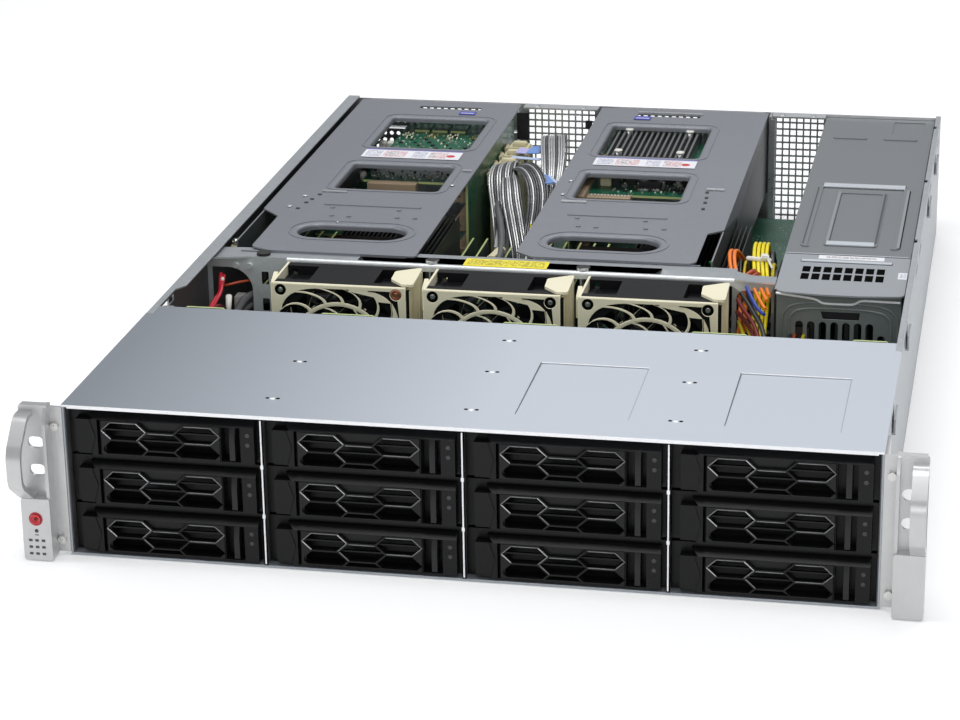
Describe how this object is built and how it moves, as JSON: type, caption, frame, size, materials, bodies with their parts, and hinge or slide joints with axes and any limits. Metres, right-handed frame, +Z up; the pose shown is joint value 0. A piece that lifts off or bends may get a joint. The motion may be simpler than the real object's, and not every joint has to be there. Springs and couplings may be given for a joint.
{
  "type": "2u rack server",
  "caption": "Two-unit rack server with open top: front drive bays with honeycomb levers, hot-swap fans, mainboard, riser modules and twin power supplies.",
  "frame": {"origin": "centre of the chassis underside", "axes": "+X to the right seen from the front, +Y to the rear, +Z up"},
  "size_m": [0.4826, 0.695, 0.0882],
  "materials": {
    "chassis_steel": "zinc-plated sheet steel, satin",
    "cover_paint": "fine textured light grey paint",
    "cage_steel": "bare sheet steel",
    "circuit_board": "green solder mask",
    "ear_metal": "silver grey paint, satin",
    "wire_sleeve": "coloured cable insulation",
    "button_plastic": "black, moulded, satin",
    "riser_steel": "galvanised steel, matt",
    "carrier_metal": "black bezel, bare steel rails",
    "lever_plastic": "black, moulded, satin",
    "fan_plastic": "beige cage and black fan frame",
    "rotor_plastic": "black, smooth",
    "supply_steel": "bare sheet steel",
    "latch_plastic": "dark red, moulded"
  },
  "bodies": {
    "chassis": {"chassis_tray": "chassis_steel", "front_cover": "cover_paint", "drive_cage": "cage_steel", "backplane": "circuit_board", "left_ear": "ear_metal", "right_ear": "ear_metal", "fan_wall": "chassis_steel", "mainboard": "circuit_board", "psu_cage": "cover_paint", "rear_panel": "chassis_steel", "cables": "wire_sleeve"},
    "power_button": {"power_button": "button_plastic"},
    "riser_left": {"riser_left": "riser_steel"},
    "riser_right": {"riser_right": "riser_steel"},
    "drive_carrier_c1r1": {"drive_carrier_c1r1": "carrier_metal"},
    "carrier_lever_c1r1": {"carrier_lever_c1r1": "lever_plastic"},
    "release_button_c1r1": {"release_button_c1r1": "button_plastic"},
    "drive_carrier_c1r2": {"drive_carrier_c1r2": "carrier_metal"},
    "carrier_lever_c1r2": {"carrier_lever_c1r2": "lever_plastic"},
    "release_button_c1r2": {"release_button_c1r2": "button_plastic"},
    "drive_carrier_c1r3": {"drive_carrier_c1r3": "carrier_metal"},
    "carrier_lever_c1r3": {"carrier_lever_c1r3": "lever_plastic"},
    "release_button_c1r3": {"release_button_c1r3": "button_plastic"},
    "drive_carrier_c2r1": {"drive_carrier_c2r1": "carrier_metal"},
    "carrier_lever_c2r1": {"carrier_lever_c2r1": "lever_plastic"},
    "release_button_c2r1": {"release_button_c2r1": "button_plastic"},
    "drive_carrier_c2r2": {"drive_carrier_c2r2": "carrier_metal"},
    "carrier_lever_c2r2": {"carrier_lever_c2r2": "lever_plastic"},
    "release_button_c2r2": {"release_button_c2r2": "button_plastic"},
    "drive_carrier_c2r3": {"drive_carrier_c2r3": "carrier_metal"},
    "carrier_lever_c2r3": {"carrier_lever_c2r3": "lever_plastic"},
    "release_button_c2r3": {"release_button_c2r3": "button_plastic"},
    "drive_carrier_c3r1": {"drive_carrier_c3r1": "carrier_metal"},
    "carrier_lever_c3r1": {"carrier_lever_c3r1": "lever_plastic"},
    "release_button_c3r1": {"release_button_c3r1": "button_plastic"},
    "drive_carrier_c3r2": {"drive_carrier_c3r2": "carrier_metal"},
    "carrier_lever_c3r2": {"carrier_lever_c3r2": "lever_plastic"},
    "release_button_c3r2": {"release_button_c3r2": "button_plastic"},
    "drive_carrier_c3r3": {"drive_carrier_c3r3": "carrier_metal"},
    "carrier_lever_c3r3": {"carrier_lever_c3r3": "lever_plastic"},
    "release_button_c3r3": {"release_button_c3r3": "button_plastic"},
    "drive_carrier_c4r1": {"drive_carrier_c4r1": "carrier_metal"},
    "carrier_lever_c4r1": {"carrier_lever_c4r1": "lever_plastic"},
    "release_button_c4r1": {"release_button_c4r1": "button_plastic"},
    "drive_carrier_c4r2": {"drive_carrier_c4r2": "carrier_metal"},
    "carrier_lever_c4r2": {"carrier_lever_c4r2": "lever_plastic"},
    "release_button_c4r2": {"release_button_c4r2": "button_plastic"},
    "drive_carrier_c4r3": {"drive_carrier_c4r3": "carrier_metal"},
    "carrier_lever_c4r3": {"carrier_lever_c4r3": "lever_plastic"},
    "release_button_c4r3": {"release_button_c4r3": "button_plastic"},
    "fan_module_1": {"fan_module_1": "fan_plastic"},
    "fan_rotor_1": {"fan_rotor_1": "rotor_plastic"},
    "fan_module_2": {"fan_module_2": "fan_plastic"},
    "fan_rotor_2": {"fan_rotor_2": "rotor_plastic"},
    "fan_module_3": {"fan_module_3": "fan_plastic"},
    "fan_rotor_3": {"fan_rotor_3": "rotor_plastic"},
    "power_supply_1": {"power_supply_1": "supply_steel"},
    "supply_latch_1": {"supply_latch_1": "latch_plastic"},
    "power_supply_2": {"power_supply_2": "supply_steel"},
    "supply_latch_2": {"supply_latch_2": "latch_plastic"}
  },
  "joints": [
    {"name": "power_button_press", "type": "slide", "parent": "chassis", "child": "power_button", "axis": [0, 1, 0], "range_m": [0, 0.0012], "stiffness_N_per_m": 200},
    {"name": "riser_left_lift", "type": "slide", "parent": "chassis", "child": "riser_left", "axis": [0, 0, 1], "range_m": [0, 0.1]},
    {"name": "riser_right_lift", "type": "slide", "parent": "chassis", "child": "riser_right", "axis": [0, 0, 1], "range_m": [0, 0.1]},
    {"name": "drive_carrier_c1r1_slide", "type": "slide", "parent": "chassis", "child": "drive_carrier_c1r1", "axis": [0, -1, 0], "range_m": [0, 0.165]},
    {"name": "carrier_lever_c1r1_hinge", "type": "hinge", "parent": "drive_carrier_c1r1", "child": "carrier_lever_c1r1", "pos_m": [-0.1962, -0.3221, 0.0128], "axis": [0, 0, -1], "range_deg": [0, 60]},
    {"name": "release_button_c1r1_press", "type": "slide", "parent": "drive_carrier_c1r1", "child": "release_button_c1r1", "axis": [0, 1, 0], "range_m": [0, 0.002], "stiffness_N_per_m": 200},
    {"name": "drive_carrier_c1r2_slide", "type": "slide", "parent": "chassis", "child": "drive_carrier_c1r2", "axis": [0, -1, 0], "range_m": [0, 0.165]},
    {"name": "carrier_lever_c1r2_hinge", "type": "hinge", "parent": "drive_carrier_c1r2", "child": "carrier_lever_c1r2", "pos_m": [-0.1962, -0.3221, 0.04117], "axis": [0, 0, -1], "range_deg": [0, 60]},
    {"name": "release_button_c1r2_press", "type": "slide", "parent": "drive_carrier_c1r2", "child": "release_button_c1r2", "axis": [0, 1, 0], "range_m": [0, 0.002], "stiffness_N_per_m": 200},
    {"name": "drive_carrier_c1r3_slide", "type": "slide", "parent": "chassis", "child": "drive_carrier_c1r3", "axis": [0, -1, 0], "range_m": [0, 0.165]},
    {"name": "carrier_lever_c1r3_hinge", "type": "hinge", "parent": "drive_carrier_c1r3", "child": "carrier_lever_c1r3", "pos_m": [-0.1962, -0.3221, 0.06953], "axis": [0, 0, -1], "range_deg": [0, 60]},
    {"name": "release_button_c1r3_press", "type": "slide", "parent": "drive_carrier_c1r3", "child": "release_button_c1r3", "axis": [0, 1, 0], "range_m": [0, 0.002], "stiffness_N_per_m": 200},
    {"name": "drive_carrier_c2r1_slide", "type": "slide", "parent": "chassis", "child": "drive_carrier_c2r1", "axis": [0, -1, 0], "range_m": [0, 0.165]},
    {"name": "carrier_lever_c2r1_hinge", "type": "hinge", "parent": "drive_carrier_c2r1", "child": "carrier_lever_c2r1", "pos_m": [-0.0876, -0.3221, 0.0128], "axis": [0, 0, -1], "range_deg": [0, 60]},
    {"name": "release_button_c2r1_press", "type": "slide", "parent": "drive_carrier_c2r1", "child": "release_button_c2r1", "axis": [0, 1, 0], "range_m": [0, 0.002], "stiffness_N_per_m": 200},
    {"name": "drive_carrier_c2r2_slide", "type": "slide", "parent": "chassis", "child": "drive_carrier_c2r2", "axis": [0, -1, 0], "range_m": [0, 0.165]},
    {"name": "carrier_lever_c2r2_hinge", "type": "hinge", "parent": "drive_carrier_c2r2", "child": "carrier_lever_c2r2", "pos_m": [-0.0876, -0.3221, 0.04117], "axis": [0, 0, -1], "range_deg": [0, 60]},
    {"name": "release_button_c2r2_press", "type": "slide", "parent": "drive_carrier_c2r2", "child": "release_button_c2r2", "axis": [0, 1, 0], "range_m": [0, 0.002], "stiffness_N_per_m": 200},
    {"name": "drive_carrier_c2r3_slide", "type": "slide", "parent": "chassis", "child": "drive_carrier_c2r3", "axis": [0, -1, 0], "range_m": [0, 0.165]},
    {"name": "carrier_lever_c2r3_hinge", "type": "hinge", "parent": "drive_carrier_c2r3", "child": "carrier_lever_c2r3", "pos_m": [-0.0876, -0.3221, 0.06953], "axis": [0, 0, -1], "range_deg": [0, 60]},
    {"name": "release_button_c2r3_press", "type": "slide", "parent": "drive_carrier_c2r3", "child": "release_button_c2r3", "axis": [0, 1, 0], "range_m": [0, 0.002], "stiffness_N_per_m": 200},
    {"name": "drive_carrier_c3r1_slide", "type": "slide", "parent": "chassis", "child": "drive_carrier_c3r1", "axis": [0, -1, 0], "range_m": [0, 0.165]},
    {"name": "carrier_lever_c3r1_hinge", "type": "hinge", "parent": "drive_carrier_c3r1", "child": "carrier_lever_c3r1", "pos_m": [0.021, -0.3221, 0.0128], "axis": [0, 0, -1], "range_deg": [0, 60]},
    {"name": "release_button_c3r1_press", "type": "slide", "parent": "drive_carrier_c3r1", "child": "release_button_c3r1", "axis": [0, 1, 0], "range_m": [0, 0.002], "stiffness_N_per_m": 200},
    {"name": "drive_carrier_c3r2_slide", "type": "slide", "parent": "chassis", "child": "drive_carrier_c3r2", "axis": [0, -1, 0], "range_m": [0, 0.165]},
    {"name": "carrier_lever_c3r2_hinge", "type": "hinge", "parent": "drive_carrier_c3r2", "child": "carrier_lever_c3r2", "pos_m": [0.021, -0.3221, 0.04117], "axis": [0, 0, -1], "range_deg": [0, 60]},
    {"name": "release_button_c3r2_press", "type": "slide", "parent": "drive_carrier_c3r2", "child": "release_button_c3r2", "axis": [0, 1, 0], "range_m": [0, 0.002], "stiffness_N_per_m": 200},
    {"name": "drive_carrier_c3r3_slide", "type": "slide", "parent": "chassis", "child": "drive_carrier_c3r3", "axis": [0, -1, 0], "range_m": [0, 0.165]},
    {"name": "carrier_lever_c3r3_hinge", "type": "hinge", "parent": "drive_carrier_c3r3", "child": "carrier_lever_c3r3", "pos_m": [0.021, -0.3221, 0.06953], "axis": [0, 0, -1], "range_deg": [0, 60]},
    {"name": "release_button_c3r3_press", "type": "slide", "parent": "drive_carrier_c3r3", "child": "release_button_c3r3", "axis": [0, 1, 0], "range_m": [0, 0.002], "stiffness_N_per_m": 200},
    {"name": "drive_carrier_c4r1_slide", "type": "slide", "parent": "chassis", "child": "drive_carrier_c4r1", "axis": [0, -1, 0], "range_m": [0, 0.165]},
    {"name": "carrier_lever_c4r1_hinge", "type": "hinge", "parent": "drive_carrier_c4r1", "child": "carrier_lever_c4r1", "pos_m": [0.1296, -0.3221, 0.0128], "axis": [0, 0, -1], "range_deg": [0, 60]},
    {"name": "release_button_c4r1_press", "type": "slide", "parent": "drive_carrier_c4r1", "child": "release_button_c4r1", "axis": [0, 1, 0], "range_m": [0, 0.002], "stiffness_N_per_m": 200},
    {"name": "drive_carrier_c4r2_slide", "type": "slide", "parent": "chassis", "child": "drive_carrier_c4r2", "axis": [0, -1, 0], "range_m": [0, 0.165]},
    {"name": "carrier_lever_c4r2_hinge", "type": "hinge", "parent": "drive_carrier_c4r2", "child": "carrier_lever_c4r2", "pos_m": [0.1296, -0.3221, 0.04117], "axis": [0, 0, -1], "range_deg": [0, 60]},
    {"name": "release_button_c4r2_press", "type": "slide", "parent": "drive_carrier_c4r2", "child": "release_button_c4r2", "axis": [0, 1, 0], "range_m": [0, 0.002], "stiffness_N_per_m": 200},
    {"name": "drive_carrier_c4r3_slide", "type": "slide", "parent": "chassis", "child": "drive_carrier_c4r3", "axis": [0, -1, 0], "range_m": [0, 0.165]},
    {"name": "carrier_lever_c4r3_hinge", "type": "hinge", "parent": "drive_carrier_c4r3", "child": "carrier_lever_c4r3", "pos_m": [0.1296, -0.3221, 0.06953], "axis": [0, 0, -1], "range_deg": [0, 60]},
    {"name": "release_button_c4r3_press", "type": "slide", "parent": "drive_carrier_c4r3", "child": "release_button_c4r3", "axis": [0, 1, 0], "range_m": [0, 0.002], "stiffness_N_per_m": 200},
    {"name": "fan_module_1_lift", "type": "slide", "parent": "chassis", "child": "fan_module_1", "axis": [0, 0, 1], "range_m": [0, 0.1]},
    {"name": "fan_rotor_1_spin", "type": "hinge", "parent": "fan_module_1", "child": "fan_rotor_1", "pos_m": [-0.122, -0.0788, 0.0442], "axis": [0, 1, 0], "continuous": true},
    {"name": "fan_module_2_lift", "type": "slide", "parent": "chassis", "child": "fan_module_2", "axis": [0, 0, 1], "range_m": [0, 0.1]},
    {"name": "fan_rotor_2_spin", "type": "hinge", "parent": "fan_module_2", "child": "fan_rotor_2", "pos_m": [-0.028, -0.0788, 0.0442], "axis": [0, 1, 0], "continuous": true},
    {"name": "fan_module_3_lift", "type": "slide", "parent": "chassis", "child": "fan_module_3", "axis": [0, 0, 1], "range_m": [0, 0.1]},
    {"name": "fan_rotor_3_spin", "type": "hinge", "parent": "fan_module_3", "child": "fan_rotor_3", "pos_m": [0.066, -0.0788, 0.0442], "axis": [0, 1, 0], "continuous": true},
    {"name": "power_supply_1_slide", "type": "slide", "parent": "chassis", "child": "power_supply_1", "axis": [0, 1, 0], "range_m": [0, 0.26]},
    {"name": "supply_latch_1_press", "type": "hinge", "parent": "power_supply_1", "child": "supply_latch_1", "pos_m": [0.20975, 0.3284, 0.0215], "axis": [0, 0, 1], "range_deg": [0, 12], "stiffness_Nm_per_rad": 0.05},
    {"name": "power_supply_2_slide", "type": "slide", "parent": "chassis", "child": "power_supply_2", "axis": [0, 1, 0], "range_m": [0, 0.26]},
    {"name": "supply_latch_2_press", "type": "hinge", "parent": "power_supply_2", "child": "supply_latch_2", "pos_m": [0.20975, 0.3284, 0.0631], "axis": [0, 0, 1], "range_deg": [0, 12], "stiffness_Nm_per_rad": 0.05}
  ]
}
